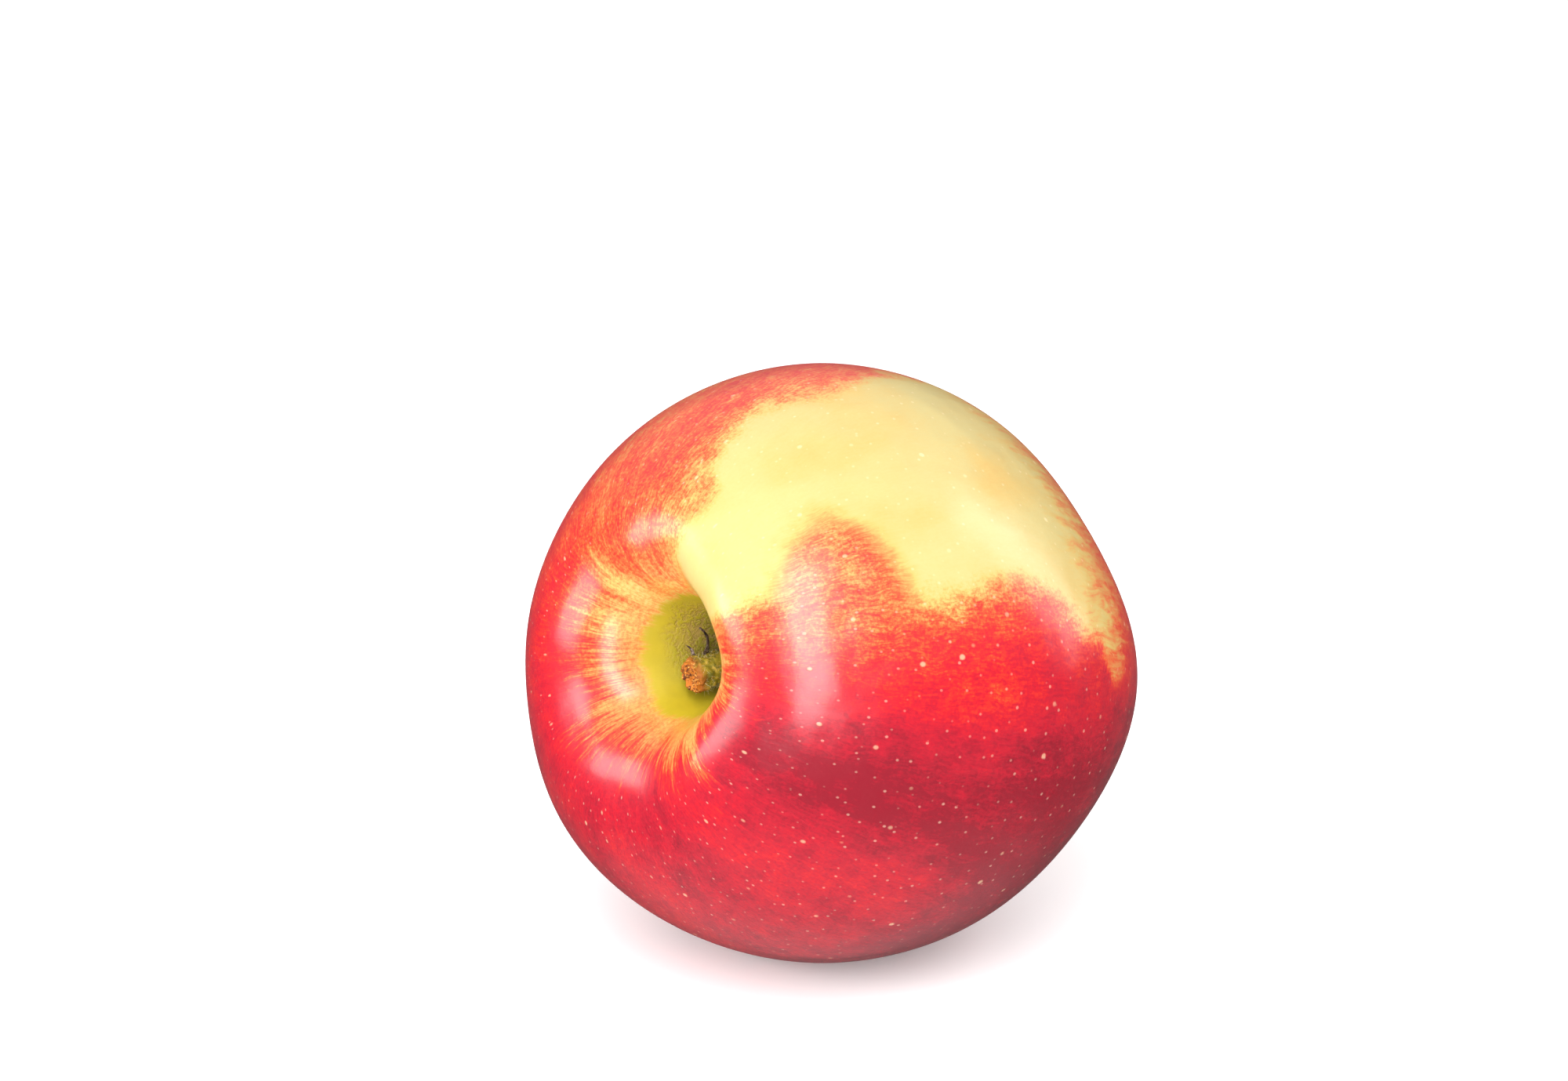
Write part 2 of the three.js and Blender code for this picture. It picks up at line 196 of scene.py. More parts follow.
def makeFruitTree():
    # the outline swept round the axis as a grid of faces, pushed into lobes, and laid out in metres
    tree, known = newTree("appleForm", fruitSizes)
    known["floor"] = formula(tree, "shoulderHeight - cavityDepth", known)
    known["eye"] = formula(tree, "basinDepth - baseHeight", known)
    for name in ("offsetAngle", "threeAngle", "fiveAngle", "shoulderAngle", "leanAngle", "furrowAngle",
                 "furrowWidth"):
        known[name] = formula(tree, f"radians({name})", known)
    join = tree.nodes.new("GeometryNodeJoinGeometry")
    for stretch in reversed(fruitOutline):
        corners = [
            addNode(tree, "ShaderNodeCombineXYZ", links={0: formula(tree, r, known), 2: formula(tree, z, known)})
            for r, z in stretch
        ]
        ends = dict(zip(("Start", "Start Handle", "End Handle", "End"), corners))
        ends["Resolution"] = outlineSteps
        curve = addNode(tree, "GeometryNodeCurvePrimitiveBezierSegment", links=ends)
        tree.links.new(curve, join.inputs[0])
    outline = join.outputs[0]
    known["length"] = addNode(tree, "GeometryNodeCurveLength", links={0: outline})

    # a flat sheet of faces, rolled round the axis and down the outline
    grid = tree.nodes.new("GeometryNodeMeshGrid")
    grid.inputs["Size X"].default_value = grid.inputs["Size Y"].default_value = 1
    tree.links.new(known["segmentsRound"], grid.inputs["Vertices X"])
    tree.links.new(known["segmentsAlong"], grid.inputs["Vertices Y"])
    sheet = addNode(
        tree, "GeometryNodeStoreNamedAttribute", {"data_type": "FLOAT2", "domain": "CORNER"},
        {"Geometry": grid.outputs["Mesh"], "Name": "OFBake", "Value": grid.outputs["UV Map"]},
    )
    place = tree.nodes.new("ShaderNodeSeparateXYZ")
    tree.links.new(addNode(tree, "GeometryNodeInputPosition"), place.inputs[0])
    known["across"], known["down"] = place.outputs[0], place.outputs[1]
    known["share"] = formula(tree, "down + 0.5", known)
    known["angle"] = formula(tree, "(across + 0.5) * 6.2831853", known)
    point = tree.nodes.new("ShaderNodeSeparateXYZ")
    sample = addNode(
        tree, "GeometryNodeSampleCurve", {"mode": "FACTOR", "use_all_curves": True},
        {"Curves": outline, "Factor": known["share"]}, output="Position",
    )
    tree.links.new(sample, point.inputs[0])
    known["radius"], known["height"] = point.outputs[0], point.outputs[2]

    # lobes, furrow and off-centre cavity
    for name, text in {
        "lower": "minimum(maximum((shoulderHeight - height) / (shoulderHeight + baseHeight), 0), 1)",
        "upper": "1 - lower",
        "five": "cosine(5 * (angle - fiveAngle))",
        "swell": "1 + threeLobes * cosine(3 * (angle - threeAngle)) + fiveLobes * (0.35 + lower) * five",
        "crown": "crownBumps * five * lower ** 4 * minimum(radius / crownRadius, 1)",
        "shoulder": "shoulderBumps * cosine(5 * (angle - shoulderAngle)) * upper ** 4"
                    " * minimum(radius / crestRadius, 1)",
        "tip": "leanRise * radius * cosine(angle - leanAngle) * upper",
        "fromFurrow": "arctan2(sine(angle - furrowAngle), cosine(angle - furrowAngle)) / furrowWidth",
        "fromCrease": "(radius - furrowRadius) / furrowReach",
        "crease": "furrowDepth * exponent(0 - fromFurrow * fromFurrow) * exponent(0 - fromCrease * fromCrease)"
                  " * upper * upper",
        "hold": "maximum(1 - radius / offsetReach, 0) * greater_than(height, 0)",
        "shift": "cavityOffset * hold * hold * (3 - 2 * hold)",
        "x": "radius * swell * cosine(angle) + shift * cosine(offsetAngle)",
        "y": "radius * swell * sine(angle) + shift * sine(offsetAngle)",
        "z": "height - crown + shoulder + tip - crease",
        "along": "share * length",
        "cosAngle": "cosine(angle)",
        "sinAngle": "sine(angle)",
    }.items():
        known[name] = formula(tree, text, known)
    inFruit = addNode(tree, "ShaderNodeCombineXYZ", links={i: known[k] for i, k in enumerate("xyz")})
    onSkin = addNode(
        tree, "ShaderNodeCombineXYZ", links={0: known["cosAngle"], 1: known["sinAngle"], 2: known["along"]})
    for name, value in (("skinPlace", onSkin), ("fruitPlace", inFruit)):
        sheet = addNode(
            tree, "GeometryNodeStoreNamedAttribute", {"data_type": "FLOAT_VECTOR", "domain": "POINT"},
            {"Geometry": sheet, "Name": name, "Value": value},
        )
    metres = addNode(tree, "ShaderNodeVectorMath", {"operation": "SCALE"}, {0: inFruit, "Scale": mm})
    sheet = addNode(tree, "GeometryNodeSetPosition", links={"Geometry": sheet, "Position": metres})
    sheet = addNode(tree, "GeometryNodeMergeByDistance", links={"Geometry": sheet, "Distance": oneSpot})
    sheet = addNode(tree, "GeometryNodeSetShadeSmooth", links={"Geometry": sheet})
    sheet = addNode(tree, "GeometryNodeRealizeInstances", links={"Geometry": sheet})
    sheet = addNode(tree, "GeometryNodeSetMaterial", links={"Geometry": sheet, "Material": known["material"]})
    tree.links.new(sheet, tree.nodes.new("NodeGroupOutput").inputs[0])
    return tree


skinFinish = {
    # colours of the skin from no blush at all to the fullest
    "blush": {0.0: "#b9a86a", 0.13: "#be9e54", 0.27: "#c47a3c", 0.42: "#c84c1e",
              0.56: "#c02416", 0.70: "#b4061a", 0.84: "#a2001e", 1.0: "#80001a"},
    # how much blush on the upper half and on the lower, by degrees round the axis; the fullest values, from 70 to 82
    # degrees above and 40 to 82 below, are partly the skin's own deep crimson and partly painted shade on the side
    # that the lights reach least
    "upperBlush": {0: 0.80, 30: 0.86, 55: 0.83, 70: 0.97, 82: 0.98, 94: 0.74, 107: 0.56, 122: 0.41,
                   176: 0.36, 190: 0.45, 215: 0.46, 240: 0.56, 275: 0.72, 310: 0.80, 340: 0.80},
    "lowerBlush": {0: 0.92, 40: 1.0, 82: 1.0, 98: 0.80, 110: 0.62, 122: 0.52, 145: 0.46, 175: 0.52,
                   215: 0.60, 250: 0.74, 290: 0.86, 330: 0.90},
    # width and length in mm of each noise's marks, and its detail; equal ones are spots, and the others run
    # from stem to crown; real streaks are 0.3 to 1 mm wide, and the finest real dots, of single cells, are
    # too fine to show, so the stipple is drawn at 0.4 mm
    "marks": {"clouds": (14, 14, 2), "dabs": (3.2, 3.2, 2), "stipple": (0.42, 0.42, 2), "bands": (6, 60, 2),
              "streaks": (1.1, 6, 3), "threads": (0.34, 1.9, 2), "spikes": (7, 900, 3)},
    "wander": (0.05, 0.05, 2), "wanderSize": 4,  # how far the marks stray, over how many mm
    # pale breathing dots about 10 mm apart, and finer specks between them: spacing, radius and soft edge in mm,
    # strength and colour
    "dots": {"lenticels": (10.5, 0.21, 0.14, 0.36, "#f6dcae"), "specks": (2.8, 0.12, 0.08, 0.2, "#f9e3c4")},
    "unrolled": (251, 139),  # mm round the girth and from stem cavity to crown, which the dots are laid out on
    "patchMiddle": 148, "patchHalf": 30, "patchLow": -10,  # the bare patch, in degrees, degrees and mm
    "tongueMiddle": 122, "tongueHalf": 20, "tongueHeight": 27, "tongueTall": 6.3,  # of blush in the patch
    # pale spikes round the cavity: degrees round the axis, half width in degrees and extra reach in mm
    "burst": [(229, 9, 4), (250, 6, 2), (283, 7, -1), (322, 9, 4), (8, 8, 3), (32, 8, 4), (53, 9, 5), (95, 26, 4)],
    "burstReach": 22.5, "hollowEdge": 16.3,  # mm along the skin from the middle of the cavity's floor
    # the cavity's colours; the deep one is partly the skin's own colour and partly painted shade of the recess
    "hollow": "#aa9608", "hollowDeep": "#6f6a0e", "hollowGreen": "#9c8c0a", "russet": "#8f6a45",
    # wax that was never polished: satin, a little rougher in spots, with a thin smoother coat
    "roughness": 0.315, "roughnessSpread": 0.09, "ior": 1.5, "coat": 0.25, "coatRoughness": 0.2,
    # heights in mm: broad unevenness of the flesh over so many mm, then what the marks add
    "waveSize": 6, "waveHeight": 0.3, "stippleHeight": 0.01, "dabHeight": 0.04, "poreDepth": 0.03,
    "scurfHeight": 0.1, "streakHeight": 0.015,
}


def finishSkin(s):
    # ripe apple skin under its own wax: a yellow ground with blush laid over it in short streaks and dots,
    # glossy but faintly uneven, so that a softbox's reflection has wavy edges
    material = bpy.data.materials.new("waxyAppleSkin")
    material.use_nodes = True
    tree = material.node_tree
    shader = tree.nodes["Principled BSDF"]
    inFruit = addNode(tree, "ShaderNodeAttribute", {"attribute_name": "fruitPlace"}, output="Vector")
    onSkin = addNode(tree, "ShaderNodeAttribute", {"attribute_name": "skinPlace"}, output="Vector")
    flat = addNode(tree, "ShaderNodeUVMap", {"uv_map": "OFBake"})
    known = {}
    for source, names in ((inFruit, "xyz"), (onSkin, ("cosAngle", "sinAngle", "along")), (flat, ("turn", "share"))):
        split = tree.nodes.new("ShaderNodeSeparateXYZ")
        tree.links.new(source, split.inputs[0])
        known.update(zip(names, split.outputs))

    # the marks wander a little as they run
    stirred = addNode(tree, "ShaderNodeTexNoise", links={
        "Vector": addNode(tree, "ShaderNodeVectorMath", {"operation": "SCALE"},
                          {0: inFruit, "Scale": 1 / s["wanderSize"]}),
        "Scale": 1, "Detail": 1}, output="Color")
    swirled = addNode(tree, "ShaderNodeVectorMath", {"operation": "MULTIPLY_ADD"},
                      {0: stirred, 1: s["wander"], 2: onSkin})
    girth = fruitSizes["girthRadius"]
    for name, (width, length, detail) in s["marks"].items():
        if width == length:
            scaled = addNode(tree, "ShaderNodeVectorMath", {"operation": "SCALE"}, {0: inFruit, "Scale": 1 / width})
        else:
            scaled = addNode(tree, "ShaderNodeVectorMath", {"operation": "MULTIPLY"},
                             {0: swirled, 1: (girth / width, girth / width, 1 / length)})
        known[name] = addNode(tree, "ShaderNodeTexNoise", links={
            "Vector": scaled, "Scale": 1, "Detail": detail, "Roughness": 0.6})
    for name in ("upperBlush", "lowerBlush"):
        ramp = tree.nodes.new("ShaderNodeValToRGB")
        stops = {**s[name], 360: s[name][0]}
        for angle, amount in stops.items():
            elements = ramp.color_ramp.elements
            stop = elements.new(angle / 360) if 0 < angle < 360 else elements[0 if angle == 0 else -1]
            stop.color = (amount, amount, amount, 1)
        tree.links.new(known["turn"], ramp.inputs[0])
        known[name] = ramp.outputs[0]
    known["angle"] = formula(tree, "turn * 360", known)
    known.update({name: value for name, value in s.items() if isinstance(value, (int, float))})
    known["spiky"] = 0.0
    for middle, half, extra in s["burst"]:
        known.update(middle=middle, half=half, extra=extra)
        known["spiky"] = formula(tree, "spiky + extra * exponent(0 - ((angle - middle) / half) ** 2)", known)
    # how much blush each spot has, with the painted shade of the tables above in it: the field of it round the
    # girth, less the bare patch with its tongue and the pale burst round the cavity, broken up by the grain of the
    # marks, and fading in the eye
    for name, text in {
        "grain": "(streaks - 0.5) * 0.6 + (smooth(0.36, 0.64, threads) - 0.5) * 0.32"
                 " + (smooth(0.34, 0.66, stipple) - 0.5) * 0.34",
        "low": "smooth(13, 1, z + (clouds - 0.5) * 10)",
        "field": "upperBlush + (lowerBlush - upperBlush) * low"
                 " + (bands - 0.5) * 0.3 + (clouds - 0.5) * 0.25 + (dabs - 0.5) * 0.3",
        "edge": "(clouds - 0.5) * 10 + (dabs - 0.5) * 7 + (stipple - 0.5) * 5",
        "inSector": "smooth(patchHalf + 6, patchHalf - 5, absolute(angle - patchMiddle) + edge"
                    " + 8 * smooth(25, 35, z) + greater_than(angle, patchMiddle) * (clouds - 0.5) * 15"
                    " - less_than(angle, patchMiddle) * (8 * smooth(9, -9, z) + 10 * smooth(-7, -12, z)))",
        "aboveLow": "smooth(patchLow - 14, patchLow + 6, z + edge + (streaks - 0.5) * 26 + (bands - 0.5) * 16)",
        "tongueX": "(angle - tongueMiddle) / tongueHalf",
        "tongueY": "(z - tongueHeight) / tongueTall",
        "tongue": "smooth(0.65, 1.25, sqrt(tongueX * tongueX + tongueY * tongueY) + edge * 0.06)",
        "patch": "inSector * aboveLow * tongue",
        "reach": "burstReach + spiky + (spikes - 0.5) * 14 + (threads - 0.5) * 13 + (streaks - 0.5) * 16",
        "burst": "smooth(5, -5.5, along - reach)",
        "bare": "maximum(patch * 0.97, burst * 0.76)",
        "mottled": "0.06 + 0.36 * (1 - patch) * (1 - 0.55 * smooth(0.6, 0.92, field))",
        "blush": "field * (1 - bare) + bare * (0.12 * smooth(0.35, 0.75, clouds)) + grain * mottled",
        "eye": "smooth(122, 131, along + (streaks - 0.5) * 8)",
        "blushed": "blush * (1 - eye * 0.8)",
    }.items():
        known[name] = formula(tree, text, known)
    ramp = tree.nodes.new("ShaderNodeValToRGB")
    for amount, tint in s["blush"].items():
        elements = ramp.color_ramp.elements
        stop = elements.new(amount) if 0 < amount < 1 else elements[0 if amount == 0 else -1]
        stop.color = toLinear(tint)
    tree.links.new(known["blushed"], ramp.inputs[0])
    colour = ramp.outputs[0]

    # the dots lie one to a cell of the unrolled skin, most of them faint, and none in the cavity
    for name, (spacing, size, soft, amount, tint) in s["dots"].items():
        spread = addNode(tree, "ShaderNodeVectorMath", {"operation": "MULTIPLY"},
                         {0: flat, 1: (*(side / spacing for side in s["unrolled"]), 0)})
        cells = tree.nodes.new("ShaderNodeTexVoronoi")
        cells.voronoi_dimensions = "2D"
        cells.inputs["Scale"].default_value = 1
        tree.links.new(spread, cells.inputs["Vector"])
        draw = tree.nodes.new("ShaderNodeSeparateXYZ")
        tree.links.new(cells.outputs["Color"], draw.inputs[0])
        known.update(gap=cells.outputs["Distance"], chance=draw.outputs[0], spacing=spacing, size=size, soft=soft,
                     amount=amount)
        known[name] = formula(
            tree, "smooth(size + soft, size - soft, gap * spacing - chance * size * 0.7)"
                  " * (0.25 + 0.75 * chance) * greater_than(along, 28)", known)
        colour = addNode(tree, "ShaderNodeMix", {"data_type": "RGBA"}, {
            0: formula(tree, f"{name} * amount", known), 6: colour, 7: toLinear(tint)}, output=2)

    # the cavity: bare olive skin inside a scalloped edge, browner, darker and rougher further down; the darkening is
    # partly its own colour and partly painted shade of the recess
    for name, text in {
        "scallop": "hollowEdge + (spikes - 0.5) * 4 + (streaks - 0.5) * 1.4",
        "hollow": "smooth(0.9, -0.9, along - scallop)",
        # deep: darker further into the cavity, partly its own colour and partly painted shade
        "deep": "smooth(16, 5, along + (dabs - 0.5) * 7)",
        "scurf": "smooth(13, 7, along + (cosAngle * 0.82 + sinAngle * 0.57) * 4 + (dabs - 0.5) * 8)"
                 " * smooth(0.4, 0.6, stipple * 0.6 + dabs * 0.4)"
                 " + smooth(129, 138, along) * smooth(0.45, 0.6, dabs)",
    }.items():
        known[name] = formula(tree, text, known)
    for mask, tint in (("hollow", "hollow"), ("hollow * smooth(0.48, 0.64, clouds)", "hollowGreen"),
                       ("hollow * deep", "hollowDeep"), ("scurf * 0.6", "russet")):
        colour = addNode(tree, "ShaderNodeMix", {"data_type": "RGBA"}, {
            0: formula(tree, mask, known), 6: colour, 7: toLinear(s[tint])}, output=2)
    tree.links.new(colour, shader.inputs["Base Color"])
    rough = formula(tree, "roughness + (dabs - 0.5) * roughnessSpread + hollow * 0.3 + scurf * 0.15", known)
    tree.links.new(rough, shader.inputs["Roughness"])
    shader.inputs["IOR"].default_value = s["ior"]
    shader.inputs["Coat Weight"].default_value = s["coat"]
    shader.inputs["Coat Roughness"].default_value = s["coatRoughness"]

    known["wave"] = addNode(tree, "ShaderNodeTexNoise", links={
        "Vector": addNode(tree, "ShaderNodeVectorMath", {"operation": "SCALE"},
                          {0: inFruit, "Scale": 1 / s["waveSize"]}),
        "Scale": 1, "Detail": 1})
    rise = formula(tree, "wave * waveHeight + stipple * stippleHeight + dabs * dabHeight - lenticels * poreDepth"
                         " + scurf * scurfHeight + streaks * streakHeight", known)
    bump = addNode(tree, "ShaderNodeBump", links={"Strength": 1, "Distance": mm, "Height": rise})
    tree.links.new(bump, shader.inputs["Normal"])
    return material


def makeFruit():
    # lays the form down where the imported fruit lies; gives back the piece and the way from its own frame to there
    fruit = runTree("skinAndFlesh", makeFruitTree(), fruitSizes, finishSkin(skinFinish))
    turn = Euler((0, math.radians(restPose["lean"]), math.radians(restPose["heading"]))).to_matrix().to_4x4()
    fruit.data.transform(turn)
    points = np.empty(len(fruit.data.vertices) * 3)
    fruit.data.vertices.foreach_get("co", points)
    points = points.reshape(-1, 3)
    low, high = (np.array(corner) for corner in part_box("fruit"))
    shift = (low + high - points.min(0) - points.max(0)) / 2
    shift[2] = high[2] - points[:, 2].max()
    points += shift
    points[:, 2] = points[:, 2].clip(0)  # the small flat spot that it rests on
    fruit.data.vertices.foreach_set("co", points.ravel())
    fruit.data.update()
    keep(fruit, "skin", "fruit")
    print("fruit made:", len(fruit.data.polygons), "faces")
    return fruit, Matrix.Translation(shift) @ turn


fruit, lie = makeFruit()


def direction(degrees):
    # the way out from the fruit's axis at an angle round it
    return Vector((math.cos(math.radians(degrees)), math.sin(math.radians(degrees)), 0))


def sweep(name, rings, side, around, relief=None):
    # closed skin over rings of (centre, way along, half widths, share of the length), in the fruit's own frame;
    # relief gives each point's push outwards and along, all in mm
    mesh = bpy.data.meshes.new(name)
    build = bmesh.new()
    share = build.verts.layers.float.new("share")
    loops = []
    for centre, way, (wide, thick), part in rings:
        way = way.normalized()
        side = (side - side.dot(way) * way).normalized()
        across = way.cross(side)
        loop = []
        for i in range(around):
            turn = math.tau * i / around
            reach = side * math.cos(turn) * wide + across * math.sin(turn) * thick
            push, lift = relief(centre, reach, turn, part) if relief else (0, 0)
            point = centre + reach + (reach.normalized() if reach.length else side) * push + way * lift
            vertex = build.verts.new(lie @ (point * mm))
            vertex[share] = part
            loop.append(vertex)
        loops.append(loop)
    for lower, upper in zip(loops, loops[1:]):
        for i in range(around):
            j = (i + 1) % around
            build.faces.new((lower[i], lower[j], upper[j], upper[i]))
    build.faces.new(loops[0])
    build.faces.new(loops[-1])
    bmesh.ops.recalc_face_normals(build, faces=build.faces)
    for face in build.faces:
        face.smooth = True
    build.to_mesh(mesh)
    build.free()
    piece = bpy.data.objects.new(name, mesh)
    bpy.context.scene.collection.objects.link(piece)
    return piece


drySurface = {"ior": 1.45, "specular": 0.3}  # dry plant fibre: its pores scatter most of the shine


def patchyFinish(name, base, layers, roughness, bumps):
    # a dry natural surface: a base under layers of speckles, each with its colour, the size of its marks in mm,
    # where its noise starts and ends, and where along the piece it starts and ends; and bumps of size and depth
    # in mm
    material = bpy.data.materials.new(name)
    material.use_nodes = True
    tree = material.node_tree
    shader = tree.nodes["Principled BSDF"]
    place = addNode(tree, "ShaderNodeTexCoord", output="Object")
    share = addNode(tree, "ShaderNodeAttribute", {"attribute_name": "share"}, output="Fac")
    colour = toLinear(base)
    for tint, size, low, high, fromShare, toShare in layers:
        scaled = addNode(tree, "ShaderNodeVectorMath", {"operation": "SCALE"}, {0: place, "Scale": 1 / (size * mm)})
        speckle = addNode(tree, "ShaderNodeTexNoise", links={"Vector": scaled, "Scale": 1, "Detail": 3})
        known = {"speckle": speckle, "share": share, "low": low, "high": high, "fromShare": fromShare,
                 "toShare": toShare}
        mask = formula(tree, "smooth(low, high, speckle) * smooth(fromShare, toShare, share)", known)
        colour = addNode(tree, "ShaderNodeMix", {"data_type": "RGBA"}, {0: mask, 6: colour, 7: toLinear(tint)},
                         output=2)
    tree.links.new(colour, shader.inputs["Base Color"])
    shader.inputs["Roughness"].default_value = roughness
    shader.inputs["IOR"].default_value = drySurface["ior"]
    shader.inputs["Specular IOR Level"].default_value = drySurface["specular"]
    height = 0.0
    for size, depth in bumps:
        scaled = addNode(tree, "ShaderNodeVectorMath", {"operation": "SCALE"}, {0: place, "Scale": 1 / (size * mm)})
        grain = addNode(tree, "ShaderNodeTexNoise", links={"Vector": scaled, "Scale": 1, "Detail": 2})
        height = formula(tree, "height + grain * depth", {"height": height, "grain": grain, "depth": depth})
    tree.links.new(addNode(tree, "ShaderNodeBump", links={"Strength": 1, "Distance": mm, "Height": height}),
                   shader.inputs["Normal"])
    return material


def makeDownTree():
    # short tapering hairs, scattered over a surface and leaning at random; sizes in mm, with half
    # the root's thickness as a hair's thickness
    sizes = ("perSquareMm", "length", "thickness", "bend", "lean", "unevenness", "seed")
    tree, known = newTree("down", sizes)
    downy = addNode(tree, "GeometryNodeInputNamedAttribute", {"data_type": "FLOAT"}, {"Name": "downy"})
    known["downy"] = downy
    scatter = tree.nodes.new("GeometryNodeDistributePointsOnFaces")
    tree.links.new(known["surface"], scatter.inputs["Mesh"])
    tree.links.new(formula(tree, "perSquareMm * 1000000 * downy", known), scatter.inputs["Density"])
    tree.links.new(known["seed"], scatter.inputs["Seed"])
    ends = {
        "Middle": addNode(tree, "ShaderNodeCombineXYZ", links={
            0: formula(tree, "bend * 0.1", known), 2: formula(tree, "length * 0.55", known)}),
        "End": addNode(tree, "ShaderNodeCombineXYZ", links={0: known["bend"], 2: known["length"]}),
    }
    hair = addNode(tree, "GeometryNodeCurveQuadraticBezier", links={"Resolution": 3, "Start": (0, 0, 0), **ends})
    known["part"] = addNode(tree, "GeometryNodeSplineParameter")
    ring = addNode(tree, "GeometryNodeCurvePrimitiveCircle", links={"Resolution": 3, "Radius": 1})
    hair = addNode(tree, "GeometryNodeCurveToMesh", links={
        "Curve": hair, "Profile Curve": ring, "Fill Caps": True,
        "Scale": formula(tree, "thickness * (1 - part * 0.8)", known)})
    hair = addNode(tree, "GeometryNodeTransform", links={"Geometry": hair, "Scale": (mm, mm, mm)})
    low, high = (
        addNode(tree, "ShaderNodeCombineXYZ", links={0: formula(tree, f"0 {sign} lean", known),
                                                     1: formula(tree, f"0 {sign} lean", known), 2: full})
        for sign, full in (("-", 0.0), ("+", math.tau)))
    tilt = addNode(tree, "FunctionNodeRandomValue", {"data_type": "FLOAT_VECTOR"}, {0: low, 1: high, "Seed": 3})
    size = addNode(tree, "FunctionNodeRandomValue", {"data_type": "FLOAT"}, {
        2: formula(tree, "1 - unevenness", known), 3: 1.0, "Seed": 7}, output=1)
    placed = addNode(tree, "GeometryNodeInstanceOnPoints", links={
        "Points": scatter.outputs["Points"], "Instance": hair, "Rotation": scatter.outputs["Rotation"],
        "Scale": size})
    placed = addNode(tree, "GeometryNodeRotateInstances", links={"Instances": placed, "Rotation": tilt})
    hairs = addNode(tree, "GeometryNodeRealizeInstances", links={"Geometry": placed})
    hairs = addNode(tree, "GeometryNodeSetMaterial", links={"Geometry": hairs, "Material": known["material"]})
    tree.links.new(hairs, tree.nodes.new("NodeGroupOutput").inputs[0])
    return tree


downTree = makeDownTree()


def growDown(name, surface, sizes, material, howDowny):
    # howDowny gives each of the surface's points its share of the full density
    mesh = surface.data.copy()
    values = mesh.attributes.new("downy", "FLOAT", "POINT")
    values.data.foreach_set("value", howDowny(mesh))
    return runTree(name, downTree, sizes, material, mesh)


# soft dry hairs: pale, matt and straw-coloured; real ones are 0.01 to 0.02 mm thick, and all the down here is
# drawn 0.04 mm thick at the root, so that it shows
downFinish = {"base": "#cfc19a", "layers": [("#a08e62", 0.6, 0.45, 0.6, -2, -1)], "roughness": 0.75,
              "bumps": [(0.2, 0.01)]}

stemSizes = {
    "radius": 1.95, "rootRadius": 1.2, "knobRadius": 2.25, "tipEdge": 0.3,
    "length": 10.2, "tipShift": 4.4, "tipAngle": -32, "sag": 0.5, "clearance": 0.3, "bendAt": 0.45,
    "around": 72, "along": 110,
    "ridges": 7, "ridgeHeight": 0.07,
    # height in mm and waves to the mm of the bumps on it
    "lumps": [(0.16, 0.9), (0.09, 2.3)], "collar": (0.3, 1.4), "torn": [(0.5, 1.3), (0.3, 3.1)],
    "shaftEnd": 0.95,  # share of the length below the torn end
    # share of the radius, and height in mm, of the rings across the torn end: a raised rim round a shallow pit
    "tornEnd": [(1.0, -0.35), (0.99, -0.12), (0.93, 0.02), (0.85, 0.06), (0.76, 0), (0.66, -0.12), (0.56, -0.24),
                (0.46, -0.3), (0.36, -0.34), (0.26, -0.3), (0.16, -0.26), (0.06, -0.25)],
}
# fleshy stem turned to bark: matt green-brown with cork flecks under 1 mm, and raw orange-brown wood at the tip
stemFinish = {
    "base": "#86761c",
    "layers": [("#5f5a1a", 1.2, 0.45, 0.62, -2, -1), ("#a98b34", 0.45, 0.5, 0.7, -2, -1),
               ("#96561e", 0.9, 0.25, 0.45, 0.84, 0.95), ("#b0641c", 0.7, 0.22, 0.44, 0.94, 0.965),
               ("#4c220c", 0.5, 0.46, 0.62, 0.94, 0.97), ("#cf9c50", 0.3, 0.56, 0.7, 0.92, 0.96)],
    "roughness": 0.7, "bumps": [(0.35, 0.08), (1.1, 0.1)],
}
stemDown = {"perSquareMm": 5, "length": 0.75, "thickness": 0.022, "bend": 0.3, "lean": 0.7, "unevenness": 0.6,
            "seed": 11}


def stemCentre(share):
    # a curve through the root, the middle and the tip
    s = stemSizes
    cavityShift = direction(fruitSizes["offsetAngle"]) * fruitSizes["cavityOffset"]
    root = cavityShift + Vector((0, 0, fruitSizes["shoulderHeight"] - fruitSizes["cavityDepth"] + s["clearance"]
                                 + s["rootRadius"] * math.sin(math.atan2(s["tipShift"], s["length"]))))
    towards = direction(s["tipAngle"])
    tip = root + Vector((0, 0, s["length"])) + towards * s["tipShift"]
    bend, t = s["bendAt"], share
    middle = root.lerp(tip, bend) - towards * s["sag"]
    return (root * (1 - t) * (bend - t) / bend + middle * t * (1 - t) / (bend * (1 - bend))
            + tip * t * (t - bend) / (1 - bend))


def stemWay(share):
    # which way it points there
    return (stemCentre(share + 0.01) - stemCentre(share - 0.01)).normalized()


def ease(low, high, value):
    # from 0 at the first value to 1 at the second, smoothly
    t = min(max((value - low) / (high - low), 0), 1)
    return t * t * (3 - 2 * t)


def stemRadius(share):
    # thin at the root, thick along the shaft and swollen under the tip
    s = stemSizes
    shaft = s["rootRadius"] + (s["radius"] - s["rootRadius"]) * ease(0, 0.22, share)
    return shaft + (s["knobRadius"] - s["radius"]) * ease(0.55, 0.9, share) - s["tipEdge"] * ease(0.93, 1, share)


